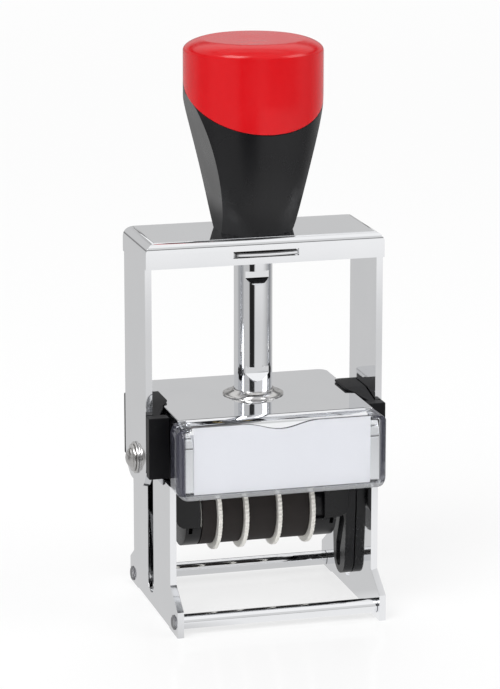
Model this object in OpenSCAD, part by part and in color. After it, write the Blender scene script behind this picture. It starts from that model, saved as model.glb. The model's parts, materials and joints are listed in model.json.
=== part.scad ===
// Self-inking date stamp. A yoke slides down over a centre post and carries a dater that turns over
// on its way from the ink pad to the paper. Millimetres, Z up, origin under the middle of the box.

/* [Yoke] */
// Outer width across the two legs
yoke_w = 65; // [62:0.5:72]
// Thickness of the yoke's sheet
yoke_sheet = 1.8; // [1.4:0.1:2.4]
// Front-to-back width of a leg
leg_d = 23.5; // [20:0.5:25]
// Front-to-back depth of the bridge, over its flanges
bridge_d = 26.2; // [25.5:0.1:30]
// Height of the bridge's flanges
flange_h = 6.9; // [6.5:0.1:10]
// Thickness of a flange
flange_t = 1.4; // [1:0.1:2]
// Length of a leg below its pivot
leg_tail = 6.7; // [6:0.1:10]
// Radius of a leg's lower corners
leg_corner_r = 7.5; // [3:0.5:9]
// Outside radius of the bend between leg and bridge
bend_r = 3; // [2.5:0.1:5]

/* [Travel] */
// Height of the carrier's pivot at rest
pivot_h = 41.7; // [40:0.1:46]
// Distance from the pivot to the face of the type
die_reach = 8; // [7.6:0.1:9]
// Space left under the type when the yoke is fully down
print_gap = 0.2; // [0.1:0.1:1]
// Space between housing and flange when the yoke is fully down
press_room = 4.8; // [4.5:0.1:8]
// Travel at which the upper lock notch holds the yoke
park_travel = 7.4; // [6:0.1:14]

/* [Pivots] */
// Diameter of a pivot pin
pivot_d = 4; // [3:0.1:4.4]
// Diameter of the flange under a pivot's domed head
pivot_head_d = 7.4; // [6.6:0.1:8]
// Thickness of that flange
pivot_head_t = 0.7; // [0.5:0.1:1]
// Diameter of the dome
dome_d = 5.8; // [4.6:0.1:6.4]
// Height of the dome
dome_h = 1.5; // [1:0.1:2.2]
// Diameter of the washer under the head
washer_d = 8.6; // [8.2:0.1:10]
// Thickness of the washer
washer_t = 0.6; // [0.4:0.1:1]
// Outer diameter of the bush that runs in the plate's slot
slide_bush_d = 6; // [5.4:0.1:7]

/* [Side plates] */
// Thickness of a side plate
plate_t = 1.8; // [1.4:0.1:2.2]
// Reach of a plate in front of the post
plate_front = 21.6; // [20:0.1:22]
// Reach of a plate behind the post
plate_rear = 19.7; // [18:0.1:22]
// Height at which a plate narrows to its tongue
shoulder_h = 39.3; // [37:0.1:40]
// Space between the tongue and a guide's end blocks
tongue_gap = 0.5; // [0.3:0.1:2]
// Depth of the tongue's top below the housing's top
tongue_drop = 2.2; // [1.5:0.1:5]
// Reach of the front foot in front of the post
foot_front = 29.5; // [28:0.1:30.2]
// Height of the front foot's face
foot_front_h = 7; // [6.2:0.1:9]
// Height at which the front foot's slope starts
foot_slope_h = 12.2; // [11:0.1:14]
// Reach of the rear foot behind the post
foot_rear = 24.2; // [23.6:0.1:27]
// Height of the rear foot's face
foot_rear_h = 6.6; // [5:0.1:8]
// Drop of the slope behind the plate
foot_rear_drop = 3; // [2:0.1:5]
// Depth of the relief between the feet
foot_relief = 0.4; // [0.2:0.1:1]
// Length of a foot's pad on the table
foot_pad = 9; // [6:0.5:12]
// Height of the slot's lower end
slot_foot = 3.6; // [3:0.1:4.8]

/* [Tie rods] */
// Diameter of a tie rod
rod_d = 4; // [3:0.1:4.4]
// Diameter of a rod's riveted end
rod_end_d = 3; // [2:0.1:3.4]
// Distance of the front rod from the post
front_rod_y = 26; // [25:0.1:27]
// Height of the front rod
front_rod_z = 3.4; // [2.8:0.1:4]
// Distance of the rear rod from the post
rear_rod_y = 20.9; // [20.4:0.1:21.5]
// Height of the rear rod
rear_rod_z = 2.5; // [2.3:0.1:2.8]
// How far a riveted end stands out of its plate
rod_peen = 0.6; // [0.3:0.1:1]

/* [Leg guides] */
// Thickness of the web between plate and leg
guide_web = 1.8; // [1.2:0.1:2.2]
// Front-to-back depth of the front end block
guide_block_d = 3.4; // [2:0.1:4.5]
// Front-to-back depth of the rear end block
guide_rear_d = 1.4; // [1:0.1:4.5]
// How far a block stands out past the leg's outer face
guide_lap = 0; // [0:0.1:1]
// Height of the guides' lower end above the plate's shoulder
guide_lift = 0.3; // [0.2:0.1:1]
// Depth of the guides' top below the housing's top
guide_drop = 1; // [0.3:0.1:2]
// Height of a claw above the housing
claw_h = 0.8; // [0.5:0.1:2]
// How far a claw reaches over the housing
claw_lap = 1.8; // [1:0.1:3]
// Distance of the front of a claw's tip from the post
claw_front = 3.6; // [2:0.1:6]
// Distance of a claw's rear end from the post
claw_rear = 6; // [4:0.1:9]

/* [Housing] */
// Thickness of the housing's top sheet
housing_sheet = 1.2; // [0.8:0.1:1.6]
// Reach of the housing behind the post
housing_rear = 21.1; // [20:0.1:22]
// Radius of the housing's front roll
roll_r = 7; // [4:0.5:8]
// Thickness of the housing's front wall
front_wall_t = 1; // [0.8:0.1:1.4]
// How far each end cap of the window covers the front roll
front_inset = 2.1; // [1.9:0.1:2.3]
// Radius of the housing's rear corners
housing_corner_r = 2.5; // [1:0.1:4]
// Thickness of the liner's side walls
liner_t = 1.2; // [0.8:0.1:1.4]
// Width of the ledge that carries the pad
ledge_w = 2; // [1.6:0.1:2.2]
// Thickness of the ledge
ledge_t = 0.8; // [0.6:0.1:0.9]
// Diameter of the rivets between tongue and liner
housing_rivet_d = 2.4; // [1.6:0.1:3]
// Distance of a rivet from the tongue's edge
housing_rivet_in = 3; // [2:0.1:4]

/* [Index window] */
// Reach of the window's face in front of the post
window_front = 30.6; // [30.4:0.1:33]
// Depth of the window from its face to its open back
window_d = 7.9; // [6.5:0.1:8]
// Thickness of the window's walls
window_wall = 1.1; // [0.8:0.1:1.3]
// Radius of the window's corners, from above
window_r = 3; // [1.5:0.1:4]
// Radius of the window's corners, from the front
window_face_r = 3; // [1.6:0.1:3.2]
// Height of the window's lower edge
window_z = 37.5; // [36:0.1:37.8]
// Thickness of the index card
card_t = 0.3; // [0.2:0.05:0.4]
// How much shorter the card is than the front roll, at each end
card_inset = 0.5; // [0.3:0.1:4]
// Width of the dip in the upper edge
dip_w = 20; // [10:0.5:30]
// Depth of the dip
dip_h = 1.8; // [0.8:0.1:3]
// Distance of the dip from the middle
dip_x = -0.7; // [-6:0.1:6]

/* [Ink pad] */
// Space between type and pad at rest
pad_gap = 0.4; // [0.35:0.05:0.8]
// Thickness of the felt
felt_t = 2.9; // [2:0.1:4]
// Front-to-back length of the felt
felt_d = 30; // [26:0.5:32]
// Length of the tray in front of the felt
felt_margin = 2; // [1:0.1:3]
// Thickness of the tray's roof
tray_roof = 1.2; // [0.8:0.1:2]
// Thickness of the tray's side rails
tray_rail = 1.6; // [1:0.1:1.8]
// How far the tray's grip stands out behind the housing
grip_out = 1.8; // [1:0.1:3]
// Depth of the tray's grip
grip_t = 1.6; // [1:0.1:2.5]
// Room over the tray for the head of the post's rivet
rivet_room = 1.8; // [1.6:0.1:3]

/* [Post] */
// Diameter of the post
post_d = 10.3; // [8:0.1:10.8]
// Diameter of the collar at its foot
collar_d = 16.4; // [14:0.1:20]
// Height of the collar
collar_h = 1.6; // [1:0.1:2.6]
// Depth of a lock notch
notch_depth = 1.13; // [0.9:0.01:1.5]
// Length of the slope under a notch
notch_slope = 2; // [1:0.1:3]
// Wall of the bush in the bridge
bush_wall = 1.3; // [0.8:0.1:1.6]
// How far the bush stands up into the knob
bush_up = 2.3; // [1:0.1:3.5]

/* [Lock] */
// Width of the lock slide
lock_w = 17.2; // [15:0.1:24]
// Thickness of the lock slide
lock_t = 1.2; // [0.8:0.1:1.4]
// Height of the slide's middle above the flange's lower edge
lock_z = 2.7; // [2.2:0.1:3]
// How far the slide's front edge stands out of the flange
lock_proud = 0.8; // [0.4:0.1:1.2]
// Travel of the lock slide
lock_travel = 1.25; // [1:0.05:1.4]

/* [Knob] */
// Height of the knob over the bridge
knob_h = 50.9; // [46:0.1:60]
// Diameter of the knob's foot
knob_foot_d = 21.2; // [20:0.1:24]
// Largest diameter of the knob
knob_d = 37; // [34:0.1:44]
// Bulge of the knob's side over a straight cone
knob_bulge = 1.9; // [0:0.1:2]
// Height of the knob's upright rim
knob_rim_h = 11.6; // [6:0.1:13]
// Width of the shoulder between rim and flat top
shoulder_w = 5.2; // [4:0.1:9]
// Height of that shoulder
shoulder_drop = 3.2; // [2:0.1:5]
// Height of the cap's seam over the bridge, on the axis
seam_h = 37.4; // [34:0.1:38.4]
// Rise of the seam per unit of depth, towards the back
seam_slope = 0.53; // [0.3:0.01:0.55]
// Gap along the seam
seam_gap = 0.2; // [0.1:0.05:0.4]
// Wall of the cap
cap_wall = 2; // [1.5:0.1:3]
// Radius of the thumb scoops
scoop_r = 122; // [100:1:200]
// Half width of the body between the scoops, at their deepest
scoop_half = 9.5; // [9.3:0.1:10.8]
// Height over the bridge at which the scoops are deepest
scoop_z = -9; // [-14:0.5:0]
// Diameter of a knob screw
knob_screw_d = 2; // [1.6:0.1:2.2]
// Length of a knob screw above the bridge
knob_screw_l = 12; // [8:0.5:20]

/* [Return spring] */
// Diameter of the wire
wire_d = 1; // [0.6:0.1:1.2]
// Number of coils
coils = 8; // [6:1:10]
// Free space above the spring's upper end, closed by the cap
spring_top_gap = 4.3; // [4:0.1:8]

/* [Carrier] */
// Thickness of the rubber die
die_t = 2.3; // [1.5:0.1:2.6]
// Front-to-back depth of the rubber die
die_d = 24.4; // [20:0.1:24.6]
// How much narrower the die is than the felt, at each side
die_inset = 1.5; // [1.1:0.1:3.5]
// Height of the raised frame and rules on the die
relief_h = 0.8; // [0.4:0.1:1.1]
// Width of the frame and rules
rule_w = 0.7; // [0.4:0.1:1.2]
// Distance of a rule from the middle of the date
rule_y = 6; // [5.6:0.1:8]
// Thickness of the plate behind the die
die_plate_t = 1.5; // [1:0.1:2]
// Front-to-back depth of that plate
die_plate_d = 29; // [26:0.1:29]
// Thickness of the carrier's platform
platform_t = 1.7; // [1.2:0.1:1.9]
// Front-to-back depth of the platform
platform_d = 22; // [20:0.5:24]
// Front-to-back depth of a cheek
cheek_d = 20; // [19.6:0.1:22]
// Thickness of a cheek's walls
cheek_wall = 1.4; // [1:0.1:1.5]
// Width of a cheek
cheek_w = 6.7; // [6:0.1:6.9]
// Reach of a cheek below the pivot
cheek_drop = 18; // [14:0.1:19]
// Radius of a cheek's lower corner
cheek_r = 3; // [1:0.1:4]
// Width of the opening that the bands print through
band_slot_d = 8.8; // [8.2:0.1:12]

/* [Date drum] */
// Distance of the drum's axle below the pivot
drum_drop = 15.9; // [15.5:0.1:17]
// Diameter of a setting wheel's flange
wheel_d = 22; // [19.6:0.1:23]
// Thickness of a flange
wheel_t = 1.1; // [0.8:0.1:1.3]
// Number of teeth round a flange
wheel_teeth = 60; // [40:1:72]
// Depth of a tooth
tooth_h = 0.25; // [0.1:0.05:0.4]
// Diameter of the bands round the drum
band_d = 18.6; // [17.6:0.1:19]
// Thickness of a band
band_t = 1; // [0.7:0.1:1.1]
// Radius of the bands where they turn at the print face
nose_r = 3.6; // [3:0.1:3.8]
// Middles of the four setting wheels, left to right, as shares of the drum's half width
wheel_share = [-0.71, -0.269, 0.281, 0.836]; // [-0.9:0.001:0.9]
// Space between an end block and the cheek outside it
drum_gap = 0.6; // [0.3:0.1:1]
// Width of an end block's hub
hub_w = 4.2; // [3:0.1:4.4]
// Diameter of an end block's hub, inside the cheek
hub_d = 16.6; // [14:0.1:16.8]
// Front-to-back width of an end block's stem
stem_d = 12; // [8:0.5:14]
// Width of an end block's stem
stem_w = 2.4; // [1.6:0.1:2.6]
// Diameter of the drum's axle
axle_d = 4; // [3:0.1:5]

/* [Flip arms] */
// Thickness of a flip arm
arm_t = 2.6; // [2.2:0.1:3]
// Radius of an arm's end round the pivot
arm_top_r = 7.2; // [6:0.1:7.2]
// Half width of an arm at its widest
arm_half = 8; // [7.9:0.1:8.3]
// Distance of the tip's round below the pivot
arm_tip_l = 31.2; // [27:0.1:31.2]
// Radius of the tip
arm_tip_r = 5.2; // [4.5:0.1:5.2]
// How far the tip lies in front of the pivot
arm_lean = 1.5; // [0.5:0.1:1.6]
// Width of the loop's opening
loop_w = 3.8; // [2:0.1:4]
// Depth of the pin's track in the outer face
track_depth = 1.4; // [1:0.1:1.6]
// Diameter of the fixed flip pin
flip_pin_d = 2; // [1.4:0.1:2.2]
// Depth of the flip pin's seat in the plate
flip_pin_seat = 1; // [0.6:0.1:1.1]
// Distance of the flip pin behind the pivots' path
flip_pin_y = 5.4; // [4.9:0.1:5.6]

/* [Fits] */
// Gap on each side of a sliding sheet
slide_gap = 0.15; // [0.1:0.01:0.25]
// Gap between parts that pass each other
run_gap = 0.3; // [0.3:0.05:0.4]
// Radial clearance of a pin in its bore
pin_fit = 0.05; // [0.02:0.01:0.09]
// Gap between pieces that are fixed together
seat_gap = 0.1; // [0.05:0.01:0.2]

/* [Hidden] */
$fn = 64;
// Overshoot of a cutting shape, and a length that passes right through the stamp
over = 1;
through = 400;

// Heights at rest, from the table up
stroke = pivot_h - die_reach - print_gap;
felt_z = pivot_h + die_reach + pad_gap;
tray_z = felt_z + felt_t;
liner_top = tray_z + tray_roof + rivet_room;
housing_top = liner_top + housing_sheet;
flange_z = housing_top + stroke + press_room;
bridge_top = flange_z + flange_h;
bridge_under = bridge_top - yoke_sheet;
lock_mid = flange_z + lock_z;
post_top = bridge_top + bush_up + run_gap;
leg_foot = pivot_h - leg_tail;
ledge_top = felt_z - seat_gap;
tongue_top = housing_top - tongue_drop;
guide_foot = shoulder_h + guide_lift;
drum_z = pivot_h - drum_drop;
flip_run = stroke / 2;
flip_pin_z = pivot_h - flip_run;
window_floor = window_z + window_wall;
window_top = housing_top - seat_gap;
housing_rivet_z = (tongue_top + ledge_top) / 2;

// Widths, from the legs in
leg_out = yoke_w / 2;
leg_in = leg_out - yoke_sheet;
web_out = leg_in - slide_gap;
web_in = web_out - guide_web;
plate_out = web_in - slide_gap;
plate_in = plate_out - plate_t;
housing_half = plate_in - run_gap;
front_half = housing_half - front_inset;
card_half = front_half - card_inset;
claw_in = housing_half - claw_lap;
liner_in = housing_half - liner_t;
tray_half = liner_in - 2 * seat_gap;
felt_half = tray_half - tray_rail;
die_half = felt_half - die_inset;
window_half = plate_out;
arm_out = plate_in - slide_gap;
arm_in = arm_out - arm_t;
cheek_in = arm_in - cheek_w;
drum_half = cheek_in - drum_gap;
wheel_x = drum_half * wheel_share;

// Depths
axis_y = (window_front - foot_rear) / 2;
guide_in_y = leg_d / 2 + slide_gap + seat_gap;
housing_front = window_front - window_wall - 2 * seat_gap - card_t;
tray_stop_y = felt_d / 2 + felt_margin;
window_back = window_front - window_d;
tongue_d = 2 * (guide_in_y - tongue_gap);
housing_rivet_y = [-tongue_d / 2 + housing_rivet_in, tongue_d / 2 - housing_rivet_in];
knob_rim_z = knob_h - shoulder_drop - knob_rim_h;
spring_z = post_top;
spring_l = bridge_top + knob_h - spring_top_gap - spring_z;

// Radii and other small sizes
slot_r = slide_bush_d / 2 + run_gap / 2;
post_r = post_d / 2;
post_spigot_r = 3;
bore_r = post_r + 0.75;
bush_r = post_r + pin_fit + bush_wall;
knob_screw_head_h = 1;
knob_screw_head_r = 0.7 * knob_screw_d;
knob_screw_x = bush_r + seat_gap + knob_screw_head_r;
spring_r = bore_r - run_gap - wire_d / 2;
pivot_r = pivot_d / 2;
band_r = band_d / 2;
hub_r = band_r - band_t - run_gap;
nose_z = die_reach - seat_gap - nose_r;
die_z = die_reach - die_t;
die_plate_z = die_z - die_plate_t;
platform_z = die_plate_z - platform_t;
// Curves that follow a formula are drawn with this many steps
curve_steps = 14;
shoulder_turn = 60;
steps_per_coil = 10;
wire_sides = 6;

chrome = "#c9ccd1";
black_plastic = "#1d1d20";
red_plastic = "#d8262b";
clear_plastic = "#d5dbe280";
white_plastic = "#e9e6dc";
rubber = "#3a3230";

// Placing helpers

module on_axis() translate([0, axis_y, 0]) children();

module on_pivot() translate([0, axis_y, pivot_h]) children();

module on_drum() translate([0, axis_y, drum_z]) children();

module left() mirror([1, 0, 0]) children();

module both_sides() {
  children();
  left() children();
}

// A side view, drawn as (depth, height), given a thickness along X
module across(x, width) translate([x, 0, 0]) rotate([90, 0, 90]) linear_extrude(width) children();

// A front view, drawn as (width, height), given a depth along Y
module deep(y, depth) translate([0, y + depth, 0]) rotate([90, 0, 0]) linear_extrude(depth) children();

// A round bar along X between two places
module bar_x(r, x0, x1) translate([x0, 0, 0]) rotate([0, 90, 0]) cylinder(h = x1 - x0, r = r);

// Outline helpers

// A rectangle whose two upper corners are round
module arch(half_w, z0, z1, r) {
  translate([-half_w, z0]) square([2 * half_w, z1 - z0 - r]);
  translate([-half_w + r, z0]) square([2 * (half_w - r), z1 - z0]);
  for (s = [-1, 1]) translate([s * (half_w - r), z1 - r]) circle(r);
}

// A rectangle with four round corners
module round_rect(half_w, z0, z1, r) {
  translate([-half_w + r, z0]) square([2 * (half_w - r), z1 - z0]);
  translate([-half_w, z0 + r]) square([2 * half_w, z1 - z0 - 2 * r]);
  for (s = [-1, 1], z = [z0 + r, z1 - r]) translate([s * (half_w - r), z]) circle(r);
}

// A slot of the given width with round ends, between two points
module slot_line(a, b, width) {
  d = b - a;
  translate(a) circle(d = width);
  translate(b) circle(d = width);
  translate(a) rotate(atan2(d[1], d[0])) translate([0, -width / 2]) square([norm(d), width]);
}

// The outline of a belt round two pulleys in line
module belt(z0, r0, z1, r1) {
  tilt = asin((r0 - r1) / (z1 - z0));
  steps = 2 * curve_steps;
  low = [for (i = [0:steps]) let (a = 180 - tilt + (180 + 2 * tilt) * i / steps)
    [r0 * cos(a), z0 + r0 * sin(a)]];
  high = [for (i = [0:steps]) let (a = tilt + (180 - 2 * tilt) * i / steps)
    [r1 * cos(a), z1 + r1 * sin(a)]];
  polygon(concat(low, high));
}

// Base

module plate_outline() difference() {
  polygon([
    [-foot_front, 0], [-foot_front + foot_pad, 0], [-foot_front + foot_pad, foot_relief],
    [foot_rear - foot_pad, foot_relief], [foot_rear - foot_pad, 0], [foot_rear, 0],
    [foot_rear, foot_rear_h], [plate_rear, foot_rear_h + foot_rear_drop],
    [plate_rear, shoulder_h], [tongue_d / 2, shoulder_h], [tongue_d / 2, tongue_top],
    [-tongue_d / 2, tongue_top], [-tongue_d / 2, shoulder_h], [-plate_front, shoulder_h],
    [-plate_front, foot_slope_h], [-foot_front, foot_front_h]]);
  slot_line([0, slot_foot + slot_r], [0, pivot_h], 2 * slot_r);
  translate([-front_rod_y, front_rod_z]) circle(d = rod_end_d + 2 * pin_fit);
  translate([rear_rod_y, rear_rod_z]) circle(d = rod_end_d + 2 * pin_fit);
  for (y = housing_rivet_y) translate([y, housing_rivet_z])
    circle(d = housing_rivet_d + 2 * pin_fit);
}

module side_plate() color(chrome) on_axis() difference() {
  across(plate_in, plate_t) plate_outline();
  // The blind seat of the flip pin
  translate([0, flip_pin_y, flip_pin_z])
    bar_x(flip_pin_d / 2 + pin_fit, plate_in - over, plate_in + flip_pin_seat + pin_fit);
}

module left_side_plate() left() side_plate();

module right_side_plate() side_plate();

// A rod shouldered between the plates, with ends riveted over outside them
module tie_rod(y, z) color(chrome) on_axis() translate([0, y, z]) {
  bar_x(rod_d / 2, -plate_in, plate_in);
  both_sides() {
    bar_x(rod_end_d / 2, plate_in - over, plate_out + rod_peen);
    bar_x(rod_d / 2, plate_out, plate_out + rod_peen / 2);
  }
}

module front_tie_rod() tie_rod(-front_rod_y, front_rod_z);

module rear_tie_rod() tie_rod(rear_rod_y, rear_rod_z);

module flip_pins() color(chrome) on_axis() both_sides() translate([0, flip_pin_y, flip_pin_z])
  bar_x(flip_pin_d / 2, arm_out - track_depth + run_gap, plate_in + flip_pin_seat);

// Housing, window and guides

module housing_outline(inset_y, inset_z, r) {
  front = -housing_front + inset_y;
  top = housing_top - inset_z;
  translate([front + r, window_z]) square([housing_rear - front - r + inset_y * over, top - window_z]);
  translate([front, window_z]) square([housing_rear - front + inset_y * over, top - r - window_z]);
  translate([front + r, top - r]) circle(r);
}

module housing_plan() {
  r = housing_corner_r;
  side = housing_front + housing_rear;
  translate([-housing_half, -housing_front]) square([2 * housing_half, side - r]);
  translate([-housing_half + r, -housing_front]) square([2 * (housing_half - r), side]);
  for (s = [-1, 1]) translate([s * (housing_half - r), housing_rear - r]) circle(r);
}

module pad_housing() color(chrome) on_axis() difference() {
  intersection() {
    across(-housing_half, 2 * housing_half) difference() {
      housing_outline(0, 0, roll_r);
      housing_outline(front_wall_t, housing_sheet, roll_r - front_wall_t);
      translate([-through / 2, 0]) square([through, window_floor + window_wall / 2]);
    }
    linear_extrude(housing_top + over) housing_plan();
  }
  // Room under the window's end caps
  both_sides() translate([front_half, -through - window_back + seat_gap, window_top - 2 * window_wall])
    cube(through);
  translate([0, 0, housing_top - housing_sheet - over])
    cylinder(h = housing_sheet + 2 * over, r = post_spigot_r + pin_fit);
}

module housing_liner() color(black_plastic) on_axis() {
  wall_y = -window_back + 2 * seat_gap;
  wall_d = housing_rear - housing_corner_r - wall_y;
  both_sides() difference() {
    union() {
      translate([liner_in, wall_y, ledge_top - ledge_t])
        cube([liner_t, wall_d, liner_top - ledge_top + ledge_t]);
      translate([liner_in - ledge_w, wall_y, ledge_top - ledge_t])
        cube([ledge_w + over / 2, wall_d, ledge_t]);
    }
    for (y = housing_rivet_y) translate([0, y, housing_rivet_z])
      bar_x(housing_rivet_d / 2 + pin_fit, liner_in - over, plate_out);
  }
  // The upright inside each end of the window, and its root on the side wall
  end_out = window_half - window_wall - seat_gap;
  bend = window_face_r - window_wall;
  both_sides() {
    translate([housing_half + seat_gap, -window_front + window_r, window_floor + bend])
      cube([end_out - housing_half - seat_gap, wall_y + seat_gap + window_front - window_r,
        window_top - window_wall - window_floor - 2 * bend]);
    translate([liner_in, wall_y, ledge_top - ledge_t])
      cube([end_out - liner_in, 2 * liner_t, liner_top - ledge_top + ledge_t]);
  }
  // The wall that stops the pad's tray
  translate([-liner_in - seat_gap, -tray_stop_y - seat_gap - liner_t, ledge_top - ledge_t])
    cube([2 * (liner_in + seat_gap), liner_t, liner_top - ledge_top + ledge_t]);
}

module housing_rivets() color(chrome) on_axis() both_sides()
  for (y = housing_rivet_y) translate([0, y, housing_rivet_z])
    bar_x(housing_rivet_d / 2, liner_in, plate_out);

// The shallow dip in the upper edge of window and card
module dip_outline(top) {
  half = dip_w / 2;
  edge = [for (i = [0:curve_steps]) let (x = -half + dip_w * i / curve_steps)
    [dip_x + x, top - dip_h * (1 + cos(180 * x / half)) / 2]];
  polygon(concat(edge, [[dip_x + half, top + over], [dip_x - half, top + over]]));
}

module window_plan(inset) {
  r = window_r - inset;
  half = window_half - inset;
  front = -window_front + inset;
  translate([-half + r, front]) square([2 * (half - r), window_d]);
  translate([-half, front + r]) square([2 * half, window_d - r]);
  for (s = [-1, 1]) translate([s * (half - r), front + r]) circle(r);
}

module index_window() color(clear_plastic) on_axis() difference() {
  inner_half = window_half - window_wall;
  intersection() {
    translate([0, 0, window_z]) linear_extrude(window_top - window_z) window_plan(0);
    deep(-window_front, window_d) round_rect(window_half, window_z, window_top, window_face_r);
  }
  intersection() {
    translate([0, 0, window_floor]) linear_extrude(window_top - window_wall - window_floor) {
      window_plan(window_wall);
      translate([-inner_half, -window_back - over]) square([2 * inner_half, 2 * over]);
    }
    deep(-window_front, window_d + over)
      round_rect(inner_half, window_floor, window_top - window_wall, window_face_r - window_wall);
  }
  // Open along the top, between the two end caps, for the housing's roll
  translate([-front_half - seat_gap, -window_front + window_wall, window_floor + window_r])
    cube([2 * (front_half + seat_gap), window_d, window_top - window_floor]);
  deep(-window_front - over, window_wall + 2 * over) dip_outline(window_top);
}

module index_card() color("#eeedf4") on_axis()
  deep(-housing_front - seat_gap - card_t, card_t) difference() {
    translate([-card_half, window_floor + seat_gap])
      square([2 * card_half, window_top - window_floor - 3 * seat_gap]);
    dip_outline(window_top - 2 * seat_gap);
  }

// One guide, on the right: a web between plate and leg, a block at each edge, and a claw on top
module leg_guide() color(black_plastic) on_axis() {
  top = housing_top - guide_drop;
  block_w = leg_out + guide_lap - plate_in - seat_gap;
  difference() {
    union() {
      translate([web_in, -guide_in_y, guide_foot]) cube([guide_web, 2 * guide_in_y, top - guide_foot]);
      translate([plate_in + seat_gap, -guide_in_y - guide_block_d, guide_foot])
        cube([block_w, guide_block_d, top - guide_foot]);
      translate([plate_in + seat_gap, guide_in_y, guide_foot])
        cube([block_w, guide_rear_d, top - guide_foot]);
    }
    across(web_in - over, guide_web + 2 * over)
      slot_line([0, guide_foot - pivot_r], [0, pivot_h], pivot_d + 2 * run_gap);
  }
  claw(top);
}

// The claw: it ramps up from the web, and its flap narrows to a tip over the housing's edge
module claw(root) difference() {
  back = housing_top + claw_h;
  foot = root - claw_h;
  intersection() {
    linear_extrude(back + over) polygon([
      [web_out, -guide_in_y], [web_out, claw_rear], [claw_in, claw_rear],
      [claw_in, -claw_front], [web_in, -guide_in_y]]);
    across(claw_in - over, web_out) polygon([
      [-guide_in_y, foot], [-guide_in_y, root], [-claw_front, back], [claw_rear, back], [claw_rear, foot]]);
  }
  translate([0, -through / 2, 0]) cube([housing_half + seat_gap, through, housing_top + seat_gap]);
}

module left_leg_guide() left() leg_guide();

module right_leg_guide() leg_guide();

// Post, lock and spring

// Side view of a notch: upright above, with a slope under it
module notch_outline(z) {
  half = lock_t / 2 + run_gap;
  depth = -post_r + notch_depth;
  polygon([
    [depth, z - half], [depth, z + half], [-post_d, z + half],
    [-post_d, z - half - notch_slope * (post_r + notch_depth) / notch_depth]]);
}

module guide_post() color(chrome) on_axis() {
  difference() {
    translate([0, 0, housing_top]) cylinder(h = post_top - housing_top, r = post_r);
    across(-post_d, 2 * post_d) {
      notch_outline(lock_mid);
      notch_outline(lock_mid - park_travel);
      notch_outline(lock_mid - stroke);
    }
  }
  translate([0, 0, liner_top - over]) cylinder(h = housing_sheet + 2 * over, r = post_spigot_r);
  translate([0, 0, liner_top - rivet_room + run_gap])
    cylinder(h = rivet_room - run_gap, r = post_spigot_r + 1.5);
}

module post_collar() color(chrome) on_axis() translate([0, 0, housing_top]) {
  rim = collar_h / 5;
  flare = collar_d / 2 - post_r - pin_fit;
  rotate_extrude() difference() {
    translate([post_r + pin_fit, 0]) square([flare, collar_h]);
    translate([collar_d / 2, rim + flare]) circle(flare);
  }
}

module post_bush() color("#b08d3e") on_axis() translate([0, 0, bridge_under - yoke_sheet * 0.7])
  difference() {
    cylinder(h = yoke_sheet * 1.7 + bush_up, r = bush_r);
    translate([0, 0, -over]) cylinder(h = yoke_sheet * 1.7 + bush_up + 2 * over, r = post_r + pin_fit);
  }

// A flat plate round the post, with a bowed front edge for the finger
module lock_slide() color(chrome) on_axis() translate([0, 0, lock_mid - lock_t / 2]) {
  front = -bridge_d / 2 - lock_proud;
  half = lock_w / 2;
  bow_r = (half * half + lock_proud * lock_proud) / (2 * lock_proud);
  hole = post_r + run_gap;
  linear_extrude(lock_t) difference() {
    union() {
      translate([-half, -bridge_d / 2]) square([lock_w, bridge_d - 2 * seat_gap]);
      intersection() {
        translate([0, front + bow_r]) circle(bow_r, $fn = 128);
        translate([-half, front]) square([lock_w, bridge_d / 2]);
      }
    }
    translate([-hole, -hole]) square(2 * hole);
  }
}

// One ring of points round the spring's wire, at a step along its helix
function wire_ring(i, rings) = let (
    turn = 360 * coils * i / rings,
    z = wire_d / 2 + (spring_l - wire_d) * i / rings)
  [for (k = [0:wire_sides - 1]) let (
      a = 360 * k / wire_sides,
      r = spring_r + wire_d / 2 * cos(a))
    [r * cos(turn), r * sin(turn), z + wire_d / 2 * sin(a)]];

// The two triangles that join a ring to the next one
function wire_skin(i, k) = let (
    a = i * wire_sides + k,
    b = i * wire_sides + (k + 1) % wire_sides)
  [[a, a + wire_sides, b], [b, a + wire_sides, b + wire_sides]];

// The spring's wire, as one tube swept along a helix
module return_spring() color("#9aa0a6") on_axis() translate([0, 0, spring_z]) {
  rings = coils * steps_per_coil;
  last = rings * wire_sides;
  points = [for (i = [0:rings]) each wire_ring(i, rings)];
  skin = [for (i = [0:rings - 1], k = [0:wire_sides - 1]) each wire_skin(i, k)];
  caps = [for (k = [1:wire_sides - 2]) each [[0, k, k + 1], [last, last + k + 1, last + k]]];
  polyhedron(points, concat(skin, caps), convexity = 10);
}

// Pad

module ink_pad_tray() color(black_plastic) on_axis() {
  rear = housing_rear + grip_out;
  translate([-tray_half, -tray_stop_y, tray_z]) cube([2 * tray_half, tray_stop_y + rear, tray_roof]);
  both_sides() translate([felt_half, -tray_stop_y, felt_z])
    cube([tray_rail, tray_stop_y + rear - grip_t, felt_t + over / 2]);
  // The lip behind, with a finger hollow
  difference() {
    translate([-tray_half, rear - grip_t, felt_z]) cube([2 * tray_half, grip_t, felt_t + tray_roof]);
    deep(rear - grip_t - over, grip_t + 2 * over) translate([0, felt_z - tray_half / 2])
      circle(tray_half / 2 + felt_t / 2, $fn = 96);
  }
}

module ink_pad() color("#2a2f4a") on_axis()
  translate([-felt_half + seat_gap, -felt_d / 2, felt_z])
    cube([2 * (felt_half - seat_gap), felt_d, felt_t]);

// Yoke and knob

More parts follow.
